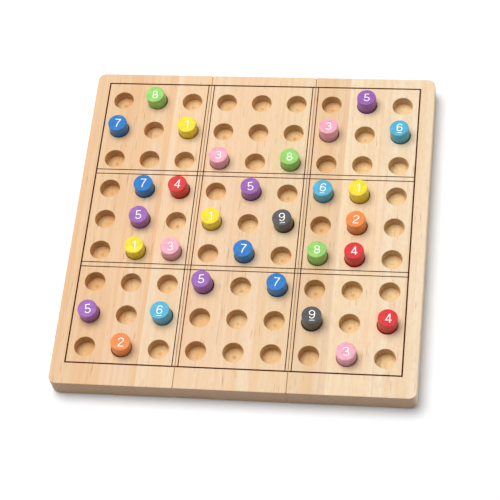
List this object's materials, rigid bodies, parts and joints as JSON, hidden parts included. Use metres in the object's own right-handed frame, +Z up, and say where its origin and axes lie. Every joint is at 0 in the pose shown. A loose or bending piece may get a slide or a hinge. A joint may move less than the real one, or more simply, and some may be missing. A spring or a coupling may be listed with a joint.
{
  "type": "wooden number puzzle board",
  "caption": "Square wooden board of glued staves with a nine by nine field of blind holes, and loose painted pegs that carry numerals.",
  "frame": {"origin": "middle of the board's footprint, on the surface that the board lies on", "axes": "+X to the right along the rows, +Y towards the back row, +Z up out of the holes"},
  "size_m": [0.292, 0.297, 0.0295],
  "materials": {
    "board_wood": "satin",
    "paint_yellow": "satin",
    "paint_orange": "satin",
    "paint_pink": "satin",
    "paint_red": "satin",
    "paint_purple": "satin",
    "paint_light_blue": "satin",
    "paint_blue": "satin",
    "paint_green": "satin",
    "paint_dark_grey": "satin",
    "numeral_print": "satin"
  },
  "bodies": {
    "board": {"left_stave_1": "board_wood", "left_stave_2": "board_wood", "left_stave_3": "board_wood", "middle_stave_1": "board_wood", "middle_stave_2": "board_wood", "middle_stave_3": "board_wood", "right_stave_1": "board_wood", "right_stave_2": "board_wood", "right_stave_3": "board_wood"},
    "peg_r1c2": {"peg_r1c2_number_8": "paint_green"},
    "peg_r1c8": {"peg_r1c8_number_5": "paint_purple"},
    "peg_r2c1": {"peg_r2c1_number_7": "paint_blue"},
    "peg_r2c3": {"peg_r2c3_number_1": "paint_yellow"},
    "peg_r2c7": {"peg_r2c7_number_3": "paint_pink"},
    "peg_r2c9": {"peg_r2c9_number_6": "paint_light_blue"},
    "peg_r3c4": {"peg_r3c4_number_3": "paint_pink"},
    "peg_r3c6": {"peg_r3c6_number_8": "paint_green"},
    "peg_r4c2": {"peg_r4c2_number_7": "paint_blue"},
    "peg_r4c3": {"peg_r4c3_number_4": "paint_red"},
    "peg_r4c5": {"peg_r4c5_number_5": "paint_purple"},
    "peg_r4c7": {"peg_r4c7_number_6": "paint_light_blue"},
    "peg_r4c8": {"peg_r4c8_number_1": "paint_yellow"},
    "peg_r5c2": {"peg_r5c2_number_5": "paint_purple"},
    "peg_r5c4": {"peg_r5c4_number_1": "paint_yellow"},
    "peg_r5c6": {"peg_r5c6_number_9": "paint_dark_grey"},
    "peg_r5c8": {"peg_r5c8_number_2": "paint_orange"},
    "peg_r6c2": {"peg_r6c2_number_1": "paint_yellow"},
    "peg_r6c3": {"peg_r6c3_number_3": "paint_pink"},
    "peg_r6c5": {"peg_r6c5_number_7": "paint_blue"},
    "peg_r6c7": {"peg_r6c7_number_8": "paint_green"},
    "peg_r6c8": {"peg_r6c8_number_4": "paint_red"},
    "peg_r7c4": {"peg_r7c4_number_5": "paint_purple"},
    "peg_r7c6": {"peg_r7c6_number_7": "paint_blue"},
    "peg_r8c1": {"peg_r8c1_number_5": "paint_purple"},
    "peg_r8c3": {"peg_r8c3_number_6": "paint_light_blue"},
    "peg_r8c7": {"peg_r8c7_number_9": "paint_dark_grey"},
    "peg_r8c9": {"peg_r8c9_number_4": "paint_red"},
    "peg_r9c2": {"peg_r9c2_number_2": "paint_orange"},
    "peg_r9c8": {"peg_r9c8_number_3": "paint_pink"}
  },
  "joints": [
    {"name": "lift_r1c2", "type": "slide", "parent": "board", "child": "peg_r1c2", "axis": [0, 0, 1], "range_m": [0, 0.015]},
    {"name": "lift_r1c8", "type": "slide", "parent": "board", "child": "peg_r1c8", "axis": [0, 0, 1], "range_m": [0, 0.015]},
    {"name": "lift_r2c1", "type": "slide", "parent": "board", "child": "peg_r2c1", "axis": [0, 0, 1], "range_m": [0, 0.015]},
    {"name": "lift_r2c3", "type": "slide", "parent": "board", "child": "peg_r2c3", "axis": [0, 0, 1], "range_m": [0, 0.015]},
    {"name": "lift_r2c7", "type": "slide", "parent": "board", "child": "peg_r2c7", "axis": [0, 0, 1], "range_m": [0, 0.015]},
    {"name": "lift_r2c9", "type": "slide", "parent": "board", "child": "peg_r2c9", "axis": [0, 0, 1], "range_m": [0, 0.015]},
    {"name": "lift_r3c4", "type": "slide", "parent": "board", "child": "peg_r3c4", "axis": [0, 0, 1], "range_m": [0, 0.015]},
    {"name": "lift_r3c6", "type": "slide", "parent": "board", "child": "peg_r3c6", "axis": [0, 0, 1], "range_m": [0, 0.015]},
    {"name": "lift_r4c2", "type": "slide", "parent": "board", "child": "peg_r4c2", "axis": [0, 0, 1], "range_m": [0, 0.015]},
    {"name": "lift_r4c3", "type": "slide", "parent": "board", "child": "peg_r4c3", "axis": [0, 0, 1], "range_m": [0, 0.015]},
    {"name": "lift_r4c5", "type": "slide", "parent": "board", "child": "peg_r4c5", "axis": [0, 0, 1], "range_m": [0, 0.015]},
    {"name": "lift_r4c7", "type": "slide", "parent": "board", "child": "peg_r4c7", "axis": [0, 0, 1], "range_m": [0, 0.015]},
    {"name": "lift_r4c8", "type": "slide", "parent": "board", "child": "peg_r4c8", "axis": [0, 0, 1], "range_m": [0, 0.015]},
    {"name": "lift_r5c2", "type": "slide", "parent": "board", "child": "peg_r5c2", "axis": [0, 0, 1], "range_m": [0, 0.015]},
    {"name": "lift_r5c4", "type": "slide", "parent": "board", "child": "peg_r5c4", "axis": [0, 0, 1], "range_m": [0, 0.015]},
    {"name": "lift_r5c6", "type": "slide", "parent": "board", "child": "peg_r5c6", "axis": [0, 0, 1], "range_m": [0, 0.015]},
    {"name": "lift_r5c8", "type": "slide", "parent": "board", "child": "peg_r5c8", "axis": [0, 0, 1], "range_m": [0, 0.015]},
    {"name": "lift_r6c2", "type": "slide", "parent": "board", "child": "peg_r6c2", "axis": [0, 0, 1], "range_m": [0, 0.015]},
    {"name": "lift_r6c3", "type": "slide", "parent": "board", "child": "peg_r6c3", "axis": [0, 0, 1], "range_m": [0, 0.015]},
    {"name": "lift_r6c5", "type": "slide", "parent": "board", "child": "peg_r6c5", "axis": [0, 0, 1], "range_m": [0, 0.015]},
    {"name": "lift_r6c7", "type": "slide", "parent": "board", "child": "peg_r6c7", "axis": [0, 0, 1], "range_m": [0, 0.015]},
    {"name": "lift_r6c8", "type": "slide", "parent": "board", "child": "peg_r6c8", "axis": [0, 0, 1], "range_m": [0, 0.015]},
    {"name": "lift_r7c4", "type": "slide", "parent": "board", "child": "peg_r7c4", "axis": [0, 0, 1], "range_m": [0, 0.015]},
    {"name": "lift_r7c6", "type": "slide", "parent": "board", "child": "peg_r7c6", "axis": [0, 0, 1], "range_m": [0, 0.015]},
    {"name": "lift_r8c1", "type": "slide", "parent": "board", "child": "peg_r8c1", "axis": [0, 0, 1], "range_m": [0, 0.015]},
    {"name": "lift_r8c3", "type": "slide", "parent": "board", "child": "peg_r8c3", "axis": [0, 0, 1], "range_m": [0, 0.015]},
    {"name": "lift_r8c7", "type": "slide", "parent": "board", "child": "peg_r8c7", "axis": [0, 0, 1], "range_m": [0, 0.015]},
    {"name": "lift_r8c9", "type": "slide", "parent": "board", "child": "peg_r8c9", "axis": [0, 0, 1], "range_m": [0, 0.015]},
    {"name": "lift_r9c2", "type": "slide", "parent": "board", "child": "peg_r9c2", "axis": [0, 0, 1], "range_m": [0, 0.015]},
    {"name": "lift_r9c8", "type": "slide", "parent": "board", "child": "peg_r9c8", "axis": [0, 0, 1], "range_m": [0, 0.015]}
  ]
}
